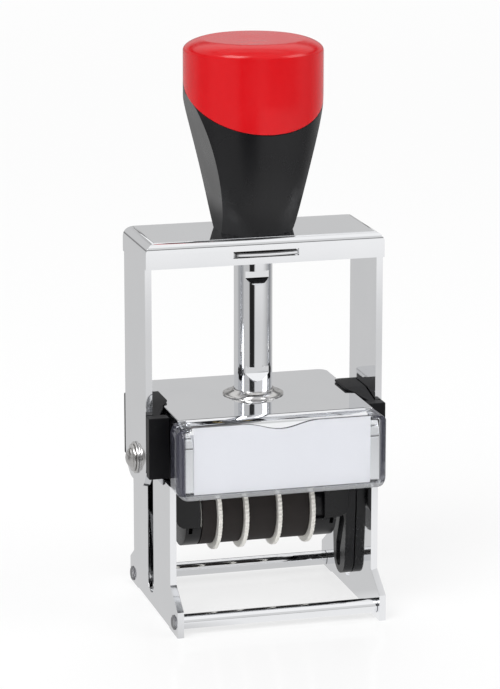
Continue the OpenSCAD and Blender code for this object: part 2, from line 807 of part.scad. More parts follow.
module yoke() color(chrome) on_axis() difference() {
  union() {
    intersection() {
      deep(-leg_d / 2, leg_d) difference() {
        arch(leg_out, leg_foot, bridge_top, bend_r);
        arch(leg_in, leg_foot - over, bridge_under, bend_r - yoke_sheet);
      }
      across(-yoke_w, 2 * yoke_w) round_rect(leg_d / 2, leg_foot, bridge_top + leg_d, leg_corner_r);
    }
    intersection() {
      deep(-bridge_d / 2, bridge_d) arch(leg_out, flange_z, bridge_top, bend_r);
      across(-leg_out, yoke_w) difference() {
        arch(bridge_d / 2, flange_z, bridge_top, yoke_sheet);
        translate([-bridge_d / 2 + flange_t, flange_z - over])
          square([bridge_d - 2 * flange_t, bridge_under - flange_z + over]);
      }
    }
  }
  translate([0, 0, bridge_under - over]) cylinder(h = yoke_sheet + 2 * over, r = bush_r + pin_fit);
  for (s = [-1, 1]) translate([s * knob_screw_x, 0, bridge_under - over])
    cylinder(h = yoke_sheet + 2 * over, d = knob_screw_d + 2 * pin_fit);
  translate([-lock_w / 2 - run_gap, -bridge_d, lock_mid - lock_t / 2 - run_gap])
    cube([lock_w + 2 * run_gap, 2 * bridge_d, lock_t + 2 * run_gap]);
  translate([0, 0, pivot_h]) bar_x(pivot_r + pin_fit, -yoke_w, yoke_w);
}

// Radius of the knob's side at a height over the bridge
function knob_side(z) = let (t = z / knob_rim_z)
  knob_foot_d / 2 + (knob_d - knob_foot_d) / 2 * t + knob_bulge * 4 * t * (1 - t);

// Half of the knob's section, drawn inside the skin by the given wall
module knob_section(wall) {
  side = [for (i = [0:curve_steps]) let (z = knob_rim_z * i / curve_steps) [knob_side(z) - wall, z]];
  // The shoulder is upright at the rim and meets the flat top in a faint edge
  shoulder = [for (i = [0:curve_steps]) let (a = shoulder_turn * i / curve_steps) [
    knob_d / 2 - shoulder_w * (1 - cos(a)) / (1 - cos(shoulder_turn)) - wall,
    knob_h - shoulder_drop * (1 - sin(a) / sin(shoulder_turn)) - wall]];
  polygon(concat([[0, 0]], side, shoulder, [[0, knob_h - wall]]));
}

// Everything above the cap's tilted seam, raised by a distance
module above_seam(rise) translate([0, 0, seam_h + rise]) rotate([atan(seam_slope), 0, 0])
  translate([-through / 2, -through / 2, 0]) cube(through);

module knob_space() translate([0, axis_y, bridge_top]) children();

module knob_body() color(black_plastic) knob_space() difference() {
  union() {
    difference() {
      rotate_extrude() knob_section(0);
      above_seam(0);
      both_sides() translate([scoop_half + scoop_r, 0, scoop_z]) rotate([90, 0, 0])
        cylinder(h = through, r = scoop_r, center = true, $fn = 256);
    }
    // The core that the cap is pressed over
    intersection() {
      rotate_extrude() knob_section(cap_wall + seam_gap);
      above_seam(-over);
    }
  }
  translate([0, 0, -over]) cylinder(h = bush_up + 2 * over, r = bush_r + pin_fit);
  cylinder(h = knob_h, r = bore_r);
  for (s = [-1, 1]) translate([s * knob_screw_x, 0, -over])
    cylinder(h = knob_screw_l + over, d = knob_screw_d + 2 * pin_fit);
}

module knob_cap() color(red_plastic) knob_space() {
  difference() {
    intersection() {
      rotate_extrude() knob_section(0);
      above_seam(seam_gap);
    }
    rotate_extrude() knob_section(cap_wall);
  }
  // The plug under the crown that closes the bore and takes the spring
  translate([0, 0, knob_h - spring_top_gap])
    cylinder(h = spring_top_gap - cap_wall + over / 2, r = bore_r - pin_fit);
}

module knob_screws() color(chrome) on_axis() for (s = [-1, 1])
  translate([s * knob_screw_x, 0, bridge_under]) {
    cylinder(h = yoke_sheet + knob_screw_l - over, d = knob_screw_d);
    translate([0, 0, -knob_screw_head_h]) cylinder(h = knob_screw_head_h, r = knob_screw_head_r);
  }

// Pivots

module pivot() color(chrome) on_pivot() {
  head_x = leg_out + washer_t;
  dome_r = (pow(dome_d / 2, 2) + pow(dome_h, 2)) / (2 * dome_h);
  bar_x(pivot_r, drum_half + stem_w + 2 * run_gap, head_x + over / 2);
  translate([head_x, 0, 0]) rotate([0, 90, 0]) rotate_extrude() {
    square([pivot_head_d / 2, pivot_head_t]);
    intersection() {
      translate([0, pivot_head_t + dome_h - dome_r]) circle(dome_r, $fn = 96);
      square([dome_d / 2, pivot_head_t + dome_h]);
    }
  }
}

module left_pivot() left() pivot();

module right_pivot() pivot();

module pivot_washers() color(chrome) on_pivot() both_sides() difference() {
  bar_x(washer_d / 2, leg_out, leg_out + washer_t);
  bar_x(pivot_r + pin_fit, leg_out - over, leg_out + washer_t + over);
}

module slide_bushes() color(white_plastic) on_pivot() both_sides() difference() {
  bar_x(slide_bush_d / 2, plate_in + seat_gap, plate_out - seat_gap);
  bar_x(pivot_r + pin_fit, plate_in - over, plate_out + over);
}

// Carrier

// The opening that the date bands print through
module band_opening(z, h) translate([-drum_half, -band_slot_d / 2, z])
  cube([2 * drum_half, band_slot_d, h]);

// A cheek in front view, with its outer lower corner round
module cheek_outline() {
  top = platform_z + platform_t / 2;
  translate([cheek_in, -cheek_drop]) square([cheek_w - cheek_r, cheek_drop + top]);
  translate([cheek_in, -cheek_drop + cheek_r]) square([cheek_w, cheek_drop - cheek_r + top]);
  translate([arm_in - cheek_r, -cheek_drop + cheek_r]) circle(cheek_r);
}

module carrier_frame() color(black_plastic) on_pivot() difference() {
  union() {
    difference() {
      translate([-arm_in, -platform_d / 2, platform_z]) cube([2 * arm_in, platform_d, platform_t]);
      band_opening(platform_z - over, platform_t + 2 * over);
    }
    both_sides() {
      difference() {
        deep(-cheek_d / 2, cheek_d) cheek_outline();
        translate([cheek_in - over, -cheek_d / 2 + cheek_wall, -cheek_drop - over])
          cube([cheek_w + over - cheek_wall, cheek_d - 2 * cheek_wall, cheek_drop + over + platform_z]);
      }
      bar_x(2 * pivot_r, cheek_in + stem_w + run_gap, arm_in);
    }
  }
  bar_x(pivot_r + pin_fit, -yoke_w, yoke_w);
}

// An arm in side view, hanging from the pivot
module arm_outline() {
  pin_foot = flip_run + flip_pin_d;
  neck = pin_foot + arm_half / 2;
  circle(arm_top_r);
  polygon([
    [-arm_top_r, 0], [-arm_half, -arm_top_r], [-arm_half, -flip_run],
    [-arm_lean - arm_tip_r, -arm_tip_l], [-arm_lean + arm_tip_r, -arm_tip_l],
    [arm_tip_r - arm_lean / 2, -neck], [arm_half, -pin_foot], [arm_half, -arm_top_r], [arm_top_r, 0]]);
  translate([-arm_lean, -arm_tip_l]) circle(arm_tip_r);
}

// The loop leans forward where it nears the pivot
module loop_outline() {
  heel = [-arm_lean / 2, -arm_tip_l - arm_tip_r / 3.5];
  knee = [-arm_lean / 2, -arm_tip_l + arm_tip_r / 2];
  head = [-arm_half / 2, -flip_run - loop_w];
  slot_line(heel, knee, loop_w);
  slot_line(knee, head, loop_w);
}

// The pocket in the outer face that the fixed pin wanders through as the arm turns over
module track_outline() {
  reach = flip_pin_y + flip_pin_d / 2 + run_gap;
  inner = pivot_r + 1;
  translate([-reach, -flip_run - flip_pin_d / 2 - run_gap])
    square([2 * reach, flip_run + flip_pin_d / 2 + run_gap - inner]);
}

module flip_arm() color(black_plastic) on_pivot() difference() {
  across(arm_in, arm_t) difference() {
    arm_outline();
    loop_outline();
  }
  across(arm_out - track_depth, track_depth + over) track_outline();
  bar_x(pivot_r + pin_fit, 0, yoke_w);
}

module left_flip_arm() left() flip_arm();

module right_flip_arm() flip_arm();

module die_plate() color("#8d9096") on_pivot() difference() {
  translate([-die_half, -die_plate_d / 2, die_plate_z]) cube([2 * die_half, die_plate_d, die_plate_t]);
  band_opening(die_plate_z - over, die_plate_t + 2 * over);
}

// A hollow in the die's face, between two depths
module die_hollow(y0, y1) translate([-die_half + rule_w, y0, die_reach - relief_h])
  cube([2 * (die_half - rule_w), y1 - y0, relief_h + over]);

module text_die() color(rubber) on_pivot() difference() {
  translate([-die_half, -die_d / 2, die_z]) cube([2 * die_half, die_d, die_t]);
  band_opening(die_z - over, die_t + 2 * over);
  // What is left of the face is a frame with a rule on each side of the date
  die_hollow(-die_d / 2 + rule_w, -rule_y - rule_w / 2);
  die_hollow(-rule_y + rule_w / 2, rule_y - rule_w / 2);
  die_hollow(rule_y + rule_w / 2, die_d / 2 - rule_w);
}

// The bar that the bands turn over behind the print face
module band_bridge() color(black_plastic) on_pivot() {
  r = nose_r - band_t - run_gap;
  web = r / 2;
  translate([0, 0, nose_z]) bar_x(r, -drum_half, drum_half);
  translate([-drum_half, -web, nose_z - 2 * nose_r]) cube([2 * drum_half, 2 * web, 2 * nose_r]);
}

// An end block, on the right: a hub round the axle and a stem up to the platform
module end_block(inner_x) color(black_plastic) on_drum() difference() {
  union() {
    bar_x(hub_d / 2, inner_x, drum_half + hub_w);
    // Below the cheek the block is as large as the bands
    intersection() {
      bar_x(band_r, inner_x, drum_half + hub_w);
      translate([0, -hub_d, -hub_d]) cube([yoke_w, 2 * hub_d, hub_d + drum_drop - cheek_drop - run_gap]);
    }
    translate([drum_half, -stem_d / 2, 0]) cube([stem_w, stem_d, drum_drop + platform_z]);
  }
  bar_x(axle_d / 2 + pin_fit, 0, yoke_w);
  // The moulded hollow in the hub's face
  translate([drum_half + stem_w, -hub_d, -hub_d / 4])
    cube([hub_w - stem_w - seat_gap * 8, hub_d, hub_d / 3]);
}

module left_end_block() left() end_block(drum_half);

module right_end_block() end_block(wheel_x[3] + wheel_t / 2 + slide_gap);

module drum_axle() color(chrome) on_drum() {
  end_x = drum_half + hub_w;
  bar_x(axle_d / 2, -end_x, end_x);
  both_sides() bar_x(axle_d * 0.75, end_x, end_x + 0.8);
}

// Left and right ends of the hub of each wheel, and of the band on it
function hub_x0(i) = i == 0 ? -drum_half + slide_gap : wheel_x[i - 1] + wheel_t / 2 + slide_gap;
function hub_x1(i) = wheel_x[i] - wheel_t / 2;

module date_band(i) color(rubber) on_pivot() {
  width = hub_x1(i) - hub_x0(i) - 2 * slide_gap;
  across(hub_x0(i) + slide_gap, width) difference() {
    belt(-drum_drop, band_r, nose_z, nose_r);
    belt(-drum_drop, band_r - band_t, nose_z, nose_r - band_t);
  }
}

module day_tens_band() date_band(0);

module day_units_band() date_band(1);

module month_band() date_band(2);

module year_band() date_band(3);

// A setting wheel: a toothed flange with the hub of its band at the left
module setting_wheel(i) color(white_plastic) on_drum() difference() {
  union() {
    across(hub_x1(i), wheel_t) toothed_disc();
    bar_x(hub_r, hub_x0(i), hub_x1(i) + wheel_t / 2);
  }
  bar_x(axle_d / 2 + pin_fit, -yoke_w, yoke_w);
}

module toothed_disc() {
  points = [for (k = [0:2 * wheel_teeth - 1])
    let (a = 180 * k / wheel_teeth, r = wheel_d / 2 - tooth_h * (k % 2))
    [r * cos(a), r * sin(a)]];
  polygon(points);
}

module day_tens_wheel() setting_wheel(0);

module day_units_wheel() setting_wheel(1);

module month_wheel() setting_wheel(2);

module year_wheel() setting_wheel(3);

left_side_plate();
right_side_plate();
front_tie_rod();
rear_tie_rod();
flip_pins();
pad_housing();
housing_liner();
housing_rivets();
index_window();
index_card();
left_leg_guide();
right_leg_guide();
guide_post();
post_collar();
return_spring();
ink_pad_tray();
ink_pad();
yoke();
post_bush();
knob_body();
knob_cap();
knob_screws();
left_pivot();
right_pivot();
pivot_washers();
slide_bushes();
lock_slide();
carrier_frame();
left_flip_arm();
right_flip_arm();
die_plate();
text_die();
band_bridge();
left_end_block();
right_end_block();
drum_axle();
day_tens_band();
day_units_band();
month_band();
year_band();
day_tens_wheel();
day_units_wheel();
month_wheel();
year_wheel();
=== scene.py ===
# %% [markdown]
# # A self-inking date stamp
#
# A chrome yoke with a black knob slides down a post and turns a dater over, from its ink pad to the
# paper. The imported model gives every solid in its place, so this lesson is about looks: light that
# suits chrome, finishes for each material, fine edges, and the pieces that a solid can't show well.

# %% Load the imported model
import json
import math

import bmesh
import bpy
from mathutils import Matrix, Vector, noise


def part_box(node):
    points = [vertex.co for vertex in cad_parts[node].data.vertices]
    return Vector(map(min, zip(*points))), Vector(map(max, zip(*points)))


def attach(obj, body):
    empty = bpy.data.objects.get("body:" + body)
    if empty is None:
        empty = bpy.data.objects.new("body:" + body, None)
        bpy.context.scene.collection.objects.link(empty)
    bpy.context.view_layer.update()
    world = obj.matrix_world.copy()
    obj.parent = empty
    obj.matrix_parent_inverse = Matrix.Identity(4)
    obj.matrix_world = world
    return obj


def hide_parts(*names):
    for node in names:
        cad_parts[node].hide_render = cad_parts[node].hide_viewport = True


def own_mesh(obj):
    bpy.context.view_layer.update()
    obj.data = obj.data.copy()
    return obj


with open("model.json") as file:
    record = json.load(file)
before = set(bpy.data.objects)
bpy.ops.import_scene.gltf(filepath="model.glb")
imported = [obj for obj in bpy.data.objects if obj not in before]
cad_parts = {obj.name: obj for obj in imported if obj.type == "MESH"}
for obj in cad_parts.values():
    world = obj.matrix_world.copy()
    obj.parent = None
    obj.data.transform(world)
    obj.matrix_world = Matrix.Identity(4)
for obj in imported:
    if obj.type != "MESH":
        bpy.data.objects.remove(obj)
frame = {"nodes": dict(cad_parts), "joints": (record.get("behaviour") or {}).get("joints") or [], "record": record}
nodes = frame["nodes"]
scene = bpy.context.scene
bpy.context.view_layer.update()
MM = 0.001

# %% [markdown]
# ## Where the camera stands
#
# The stamp is seen from its left front and from a little above, through a long lens, so its upright
# edges stay nearly parallel. A camera most of a metre away with a long focal length gives that. A lens
# shifted upwards would make them exactly parallel, but then every other view would be off centre.

# %% Camera
VIEW_DOWN = 13.623
VIEW_ROUND = 15.261
camera_data = bpy.data.cameras.new("view_camera")
camera_data.lens = 165.25
camera_data.sensor_width = 36
camera_data.shift_x = 0.0072
camera_data.clip_end = 50
camera = bpy.data.objects.new("view_camera", camera_data)
camera.location = (-218.8 * MM, -790.6 * MM, 270.2 * MM)
camera.rotation_euler = (math.radians(90 - VIEW_DOWN), 0, math.radians(-VIEW_ROUND))
scene.collection.objects.link(camera)
scene.camera = camera
scene.view_settings.view_transform = "Standard"
print("camera distance:", round(camera.location.length, 3))

# %% [markdown]
# ## Shader sums as plain expressions
#
# A finish is a small sum: a base, plus noise, times a mask. Written node by node it fills pages, so
# one class wraps a socket and takes over the arithmetic signs, and one method makes any other node.


# %% A socket that takes part in sums
class Value:
    def __init__(self, graph, socket):
        self.graph = graph
        self.socket = socket

    def sum_of(self, operation, first, second):
        return self.graph.node("ShaderNodeMath", {"operation": operation}, {0: first, 1: second})

    def __add__(self, other):
        return self.sum_of("ADD", self, other)

    def __radd__(self, other):
        return self.sum_of("ADD", other, self)

    def __sub__(self, other):
        return self.sum_of("SUBTRACT", self, other)

    def __rsub__(self, other):
        return self.sum_of("SUBTRACT", other, self)

    def __mul__(self, other):
        return self.sum_of("MULTIPLY", self, other)

    def __rmul__(self, other):
        return self.sum_of("MULTIPLY", other, self)

    def __truediv__(self, other):
        return self.sum_of("DIVIDE", self, other)

    def __rtruediv__(self, other):
        return self.sum_of("DIVIDE", other, self)

    def at_most(self, other):
        return self.sum_of("MINIMUM", self, other)

    def at_least(self, other):
        return self.sum_of("MAXIMUM", self, other)

    def without_sign(self):
        return self.at_least(0 - self)


# %% A tree of nodes
class Graph:
    def __init__(self, tree):
        self.tree = tree
        tree.nodes.clear()

    def node(self, kind, settings=None, sockets=None, output=0):
        made = self.tree.nodes.new(kind)
        for name, setting in (settings or {}).items():
            if name == "stops":
                self.set_stops(made.color_ramp, setting)
            else:
                setattr(made, name, setting)
        for key, content in (sockets or {}).items():
            # A list is several links into one socket
            for entry in content if isinstance(content, list) else [content]:
                self.fill(made.inputs[key], entry)
        if isinstance(output, tuple):
            return [Value(self, made.outputs[name]) for name in output]
        return Value(self, made.outputs[output]) if len(made.outputs) else None

    def fill(self, socket, content):
        if isinstance(content, Value):
            self.tree.links.new(content.socket, socket)
        else:
            socket.default_value = content

    def set_stops(self, ramp, stops):
        while len(ramp.elements) < len(stops):
            ramp.elements.new(0.5)
        for element, (place, colour) in zip(ramp.elements, stops):
            element.position = place
            element.color = colour


# %% Words that finishes are made of
class Shading(Graph):
    def place(self):
        return self.node("ShaderNodeTexCoord", output="Object")

    def parts(self, vector):
        return self.node("ShaderNodeSeparateXYZ", sockets={0: vector}, output=("X", "Y", "Z"))

    def facing(self):
        return self.parts(self.node("ShaderNodeNewGeometry", output="Normal"))

    def rays(self, *kinds):
        return self.node("ShaderNodeLightPath", output=tuple(f"Is {kind} Ray" for kind in kinds))

    def noise(self, size, detail=2.0, stretch=(1, 1, 1)):
        moved = self.node("ShaderNodeMapping", sockets={"Vector": self.place(), "Scale": stretch})
        return self.node(
            "ShaderNodeTexNoise", sockets={"Vector": moved, "Scale": 1 / size, "Detail": detail}
        )

    def fade(self, amount, start, end):
        return self.node(
            "ShaderNodeMapRange",
            {"interpolation_type": "SMOOTHSTEP"},
            {"Value": amount, "From Min": start, "From Max": end},
        )

    def blend(self, share, first, second):
        return self.node(
            "ShaderNodeMix",
            {"data_type": "RGBA"},
            {"Factor": share, 6: first, 7: second},
            output=2,
        )

    def bump(self, height, depth):
        return self.node("ShaderNodeBump", sockets={"Height": height, "Distance": depth})

    def either(self, share, first, second):
        return self.node("ShaderNodeMixShader", sockets={0: share, 1: first, 2: second})

    def principled(self, sockets):
        return self.node("ShaderNodeBsdfPrincipled", sockets=sockets)

    def surface(self, shader):
        self.node("ShaderNodeOutputMaterial", sockets={"Surface": shader})


def finish(name):
    made = bpy.data.materials.new(name)
    made.use_nodes = True
    return made, Shading(made.node_tree)


def rgba(red, green, blue):
    return (red, green, blue, 1.0)


# %% [markdown]
# ## A white room that chrome can show
#
# Chrome has no colour of its own. It shows the room, so the room is designed. Rings of grey levels go
# round the stamp by compass direction: one for the walls, and for the floor one close by and one further
# off. Two more rings change the floor in front: a glow brightens it for the bridge, and a shade beyond
# the glow darkens it for the cap. A narrow dark strip on the camera's side draws the black line down the
# middle of the post, and dark bars across the ceiling at the back draw the lines along each upper bend.
# Only mirror-like rays see all this. The camera sees plain white, and matt surfaces get even light.

# %% Rings of grey
# Each pair is a compass direction, in degrees from +X towards +Y, and the level of grey there
WALL_RING = (
    (0, 0.50), (30, 0.60), (110, 0.60), (150, 0.60), (158, 0.35), (172, 0.35), (186, 0.56), (231, 0.56),
    (236, 0.03), (260, 0.03), (266, 0.72), (310, 0.72), (335, 0.60), (360, 0.50),
)
NEAR_RING = ((0, 0.62), (215, 0.62), (250, 0.92), (320, 0.92), (360, 0.62))
FLOOR_RING = (
    (0, 0.32), (30, 0.55), (100, 0.60), (148, 0.60), (158, 0.30), (172, 0.30), (186, 0.56), (231, 0.56),
    (236, 0.02), (260, 0.02), (266, 0.70), (310, 0.70), (330, 0.60), (360, 0.32),
)
# What the glow adds in each direction, and the share that the shade takes away
GLOW_RING = ((0, 0.0), (264, 0.0), (270, 0.27), (320, 0.27), (350, 0.0), (360, 0.0))
SHADE_RING = ((0, 0.0), (225, 0.0), (240, 0.85), (325, 0.85), (345, 0.0), (360, 0.0))
# Each pair is the sine of a height above the horizon, and the level of grey there
BACK_CEILING = (
    (0.30, 0.60), (0.33, 0.04), (0.45, 0.04), (0.48, 1.0), (0.79, 1.0), (0.80, 0.08), (0.83, 0.08),
    (0.84, 1.0), (0.93, 1.0), (0.97, 0.55),
)


def grey_level(graph, pairs, share):
    stops = [(place, rgba(level, level, level)) for place, level in pairs]
    return graph.node("ShaderNodeValToRGB", {"stops": stops}, {0: share})


def ring_level(graph, ring, x, y):
    turn = graph.node("ShaderNodeMath", {"operation": "ARCTAN2"}, {0: y, 1: x}) / math.tau
    share = graph.node("ShaderNodeMath", {"operation": "FRACT"}, {0: turn + 1})
    return grey_level(graph, [(degrees / 360, level) for degrees, level in ring], share)


print("directions in the wall's ring:", len(WALL_RING))

# %% World
# Each range is where a change starts and where it is complete. BEHIND is the share of a direction along
# +Y, and the others are sines of its height above the horizon
SKIRTING_TOP = (0.02, 0.09)
FRONT_CEILING = (0.45, 0.65)
BACK_WALL_TOP = (0.27, 0.31)
BEHIND = (-0.05, 0.10)
SKIRTING_DARK = 0.6
EVEN_LIGHT = 0.5
white = rgba(1.0, 1.0, 1.0)
world = bpy.data.worlds.new("studio")
world.use_nodes = True
scene.world = world
room = Shading(world.node_tree)
camera_ray, glossy_ray, clear_ray = room.rays("Camera", "Glossy", "Transmission")
across, along, above = room.parts(room.node("ShaderNodeTexCoord", output="Generated"))
skirting = 1 - room.fade(above, *SKIRTING_TOP)
wall = ring_level(room, WALL_RING, across, along) * (1 - skirting * SKIRTING_DARK)
front_sky = wall + room.fade(above, *FRONT_CEILING) * (1 - wall)
back_sky = wall + room.fade(above, *BACK_WALL_TOP) * (grey_level(room, BACK_CEILING, above) - wall)
mirrored = front_sky + room.fade(along, *BEHIND) * (back_sky - front_sky)
seen = camera_ray.at_least(clear_ray)
even = room.node("ShaderNodeBackground", sockets={"Color": white, "Strength": EVEN_LIGHT})
shown = room.node("ShaderNodeBackground", sockets={"Color": seen + (1 - seen) * mirrored})
room.node("ShaderNodeOutputWorld", sockets={"Surface": room.either(seen.at_least(glossy_ray), even, shown)})
print("world nodes:", len(world.node_tree.nodes))

# %% Lamps
STAMP_MIDDLE = (0, 0, 0.07)
DATER_MIDDLE = (0, 0, 0.03)


def soft_lamp(name, place, size, watts, in_mirrors=True, target=STAMP_MIDDLE):
    lamp = bpy.data.lights.new(name, "AREA")
    lamp.shape = "SQUARE"
    lamp.size = size
    lamp.energy = watts
    thing = bpy.data.objects.new(name, lamp)
    thing.location = place
    thing.rotation_euler = (Vector(target) - Vector(place)).to_track_quat("-Z", "Y").to_euler()
    thing.visible_glossy = in_mirrors
    scene.collection.objects.link(thing)
    print(name, "watts:", watts)


soft_lamp("key_lamp", place=(-0.9, -0.7, 1.3), size=0.9, watts=17)
soft_lamp("fill_lamp", place=(1.2, -0.6, 0.8), size=0.9, watts=8)
soft_lamp("back_lamp", place=(0.2, 1.2, 1.1), size=1.0, watts=8, in_mirrors=False)
soft_lamp(
    "low_lamp", place=(-0.2, -0.9, 0.15), size=0.5, watts=1.6, in_mirrors=False, target=DATER_MIDDLE
)

# %% Floor
# Each range is where a change starts and where it is complete, in metres from the stamp
FURTHER_OFF = (0.10, 0.24)
GLOW_STARTS = (0.30, 0.52)
SHADE_STARTS = (0.60, 0.74)
WHITE_STARTS = (0.4, 1.8)
NEAR_WHITE = 0.7
FLOOR_HALF = 4
floor_finish, graph = finish("floor")
camera_ray, glossy_ray = graph.rays("Camera", "Glossy")
place = graph.place()
x, y, _ = graph.parts(place)
distance = graph.node("ShaderNodeVectorMath", {"operation": "LENGTH"}, {0: place}, output="Value")
near = ring_level(graph, NEAR_RING, x, y)
further = ring_level(graph, FLOOR_RING, x, y)
glow = ring_level(graph, GLOW_RING, x, y) * graph.fade(distance, *GLOW_STARTS)
shade = ring_level(graph, SHADE_RING, x, y) * graph.fade(distance, *SHADE_STARTS)
level = (near + graph.fade(distance, *FURTHER_OFF) * (further - near) + glow) * (1 - shade)
mirrored = graph.node("ShaderNodeEmission", sockets={"Color": level})
gloss = graph.principled(
    {"Base Color": rgba(0.93, 0.93, 0.93), "Roughness": 0.12, "Specular IOR Level": 0.35}
)
lift = graph.node("ShaderNodeEmission", sockets={"Color": white})
whiter = camera_ray * (NEAR_WHITE + (1 - NEAR_WHITE) * graph.fade(distance, *WHITE_STARTS))
graph.surface(graph.either(glossy_ray, graph.either(whiter, gloss, lift), mirrored))
corners = [(FLOOR_HALF * side, FLOOR_HALF * end, 0) for side, end in ((-1, -1), (1, -1), (1, 1), (-1, 1))]
floor_mesh = bpy.data.meshes.new("floor")
floor_mesh.from_pydata(corners, [], [(0, 1, 2, 3)])
floor_mesh.materials.append(floor_finish)
floor = bpy.data.objects.new("floor", floor_mesh)
scene.collection.objects.link(floor)
print("floor nodes:", len(floor_finish.node_tree.nodes))

# %% [markdown]
# ## Chrome
#
# The sheet parts are pressed steel with a mirror plating. A perfect mirror looks drawn, so the plating
# gets what pressed sheet has: a slow waviness that bends reflections, and a faint haze in patches. The
# tie rods are cut to length, so their ends are bare steel. The lock slide's flat faces are painted dark,
# a painted shadow of the gap above it, which draws the black line above it in its slot. The way a face
# points tells bare ends and painted shade from plated.

# %% Chrome finish
HAZE_SIZE = 14 * MM
HAZE_ROUGH = 0.035
WAVE_SIZE = 22 * MM
WAVE_DEPTH = 0.02 * MM
BARE_AND_SHADE_FACING = (0.1, 0.3)
BARE_AND_SHADE_ROUGH = 0.4


def plated(name, bare_and_shade_axis=None, bare_and_shade_colour=None):
    made, graph = finish(name)
    haze = graph.noise(HAZE_SIZE, detail=3)
    colour = graph.blend(haze, rgba(0.84, 0.85, 0.87), rgba(0.90, 0.905, 0.92))
    rough = HAZE_ROUGH + haze * HAZE_ROUGH
    # Faces that point along the axis get a colour of their own: bare steel on the tie rods' cut ends, painted
    # shade on the lock slide's flat faces
    if bare_and_shade_axis:
        facing = graph.facing()["XYZ".index(bare_and_shade_axis)]
        bare_and_shade = graph.fade(facing.without_sign(), *BARE_AND_SHADE_FACING)
        colour = graph.blend(bare_and_shade, colour, rgba(*bare_and_shade_colour))
        rough = rough + bare_and_shade * BARE_AND_SHADE_ROUGH
    graph.surface(
        graph.principled(
            {
                "Base Color": colour,
                "Metallic": 1.0,
                "Roughness": rough,
                "Normal": graph.bump(graph.noise(WAVE_SIZE, detail=1), WAVE_DEPTH),
            }
        )
    )
    print("plated:", name)
    return made


chrome = plated("chrome_plating")
rod_chrome = plated("rod_plating", bare_and_shade_axis="X", bare_and_shade_colour=(0.28, 0.28, 0.29))
# The lock slide's near-black flat faces are painted shade: a painted shadow of the gap above it in its slot
slide_chrome = plated("slide_plating", bare_and_shade_axis="Z", bare_and_shade_colour=(0.03, 0.03, 0.032))

# %% [markdown]
# ## Plastics
#
# The black parts are satin mouldings with a fine spark-eroded grain, and the leg guides and the liner are
# duller than the rest. The knob turns dull towards its foot. A shiny foot would show the bridge as pale
# arcs. The red cap is smoother, so it shows soft highlights along its shoulder. The setting wheels are an
# off-white, waxy plastic.

# %% Moulded finishes
CLOUD_SIZE = 9 * MM
PATCHY = 0.1
DULL_FOOT_TALL = 9 * MM
DULL_FOOT_ROUGH = 0.35


def moulded(name, dark, light, rough, grain, depth, shine=0.3, foot=None):
    made, graph = finish(name)
    cloud = graph.noise(CLOUD_SIZE, detail=3)
    roughness = rough - PATCHY / 2 + cloud * PATCHY
    if foot is not None:
        height = graph.parts(graph.place())[2]
        roughness = roughness + DULL_FOOT_ROUGH * (1 - graph.fade(height, foot, foot + DULL_FOOT_TALL))
    graph.surface(
        graph.principled(
            {
                "Base Color": graph.blend(cloud, rgba(*dark), rgba(*light)),
                "Roughness": roughness,
                "Specular IOR Level": shine,
                "Normal": graph.bump(graph.noise(grain, detail=2), depth),
            }
        )
    )
    print("moulded:", name)
    return made


# %% Black, red and white mouldings
SATIN_BLACK = {
    "dark": (0.005, 0.005, 0.006),
    "light": (0.008, 0.008, 0.009),
    "rough": 0.28,
    "grain": 0.25 * MM,
    "depth": 0.004 * MM,
    "shine": 0.34,
}
knob_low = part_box("knob_body")[0]
black_plastic = moulded("black_plastic", **SATIN_BLACK)
knob_plastic = moulded("knob_plastic", **SATIN_BLACK, foot=knob_low.z + 1 * MM)
guide_plastic = moulded(
    "guide_plastic",
    dark=(0.003, 0.003, 0.004),
    light=(0.006, 0.006, 0.007),
    rough=0.42,
    grain=0.25 * MM,
    depth=0.004 * MM,
    shine=0.16,
)
red_plastic = moulded(
    "red_plastic",
    dark=(0.54, 0.001, 0.004),
    light=(0.60, 0.002, 0.006),
    rough=0.22,
    grain=0.30 * MM,
    depth=0.002 * MM,
    shine=0.34,
)
white_plastic = moulded(
    "wheel_plastic",
    dark=(0.93, 0.91, 0.85),
    light=(0.97, 0.95, 0.90),
    rough=0.45,
    grain=0.30 * MM,
    depth=0.004 * MM,
)

# %% [markdown]
# ## The clear window and its card
#
# The index window is a moulded cover a millimetre thick. A full glass shader would darken the card
# behind it, because lamps can't reach through. This one lets light straight on, adds the gloss that a
# clear face has, more of it at a slant, and keeps that gloss away from shadow rays. Light that runs along
# the wall comes out at its ends, and that is painted in: a painted shade line along the upper edge of the
# front, and a painted highlight as a pale line along the lip at its foot. At each end of the front a
# painted dark band deepens the dark upright seen through it.

# %% Clear plastic
WINDOW_WALL = 1.1 * MM
WALL_END_Y = (WINDOW_WALL, 1.2 * WINDOW_WALL)
LIP_END_Z = (WINDOW_WALL, 1.3 * WINDOW_WALL)
FACING_UP = (0.5, 0.8)
FACING_FRONT = (0.1, 0.4)
EDGE_PAINTED_SHADE = 0.7
LIP_PAINTED_HIGHLIGHT = 0.3
MOST_SHINE = 0.9
END_BAND = 2.3 * MM
END_BAND_SOFT = 0.2 * MM
END_BAND_PAINTED_DARK = 0.65
window_low, window_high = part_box("index_window")
clear_plastic, graph = finish("clear_plastic")
(shadow_ray,) = graph.rays("Shadow")
x, y, z = graph.parts(graph.place())
_, facing_y, facing_z = graph.facing()
in_front = 1 - graph.fade(y, *(window_low.y + depth for depth in WALL_END_Y))
# The upper edge of the front gets painted shade: the gloss there is painted dark, as a dark line
painted_shade_line = graph.fade(facing_z, *FACING_UP) * in_front
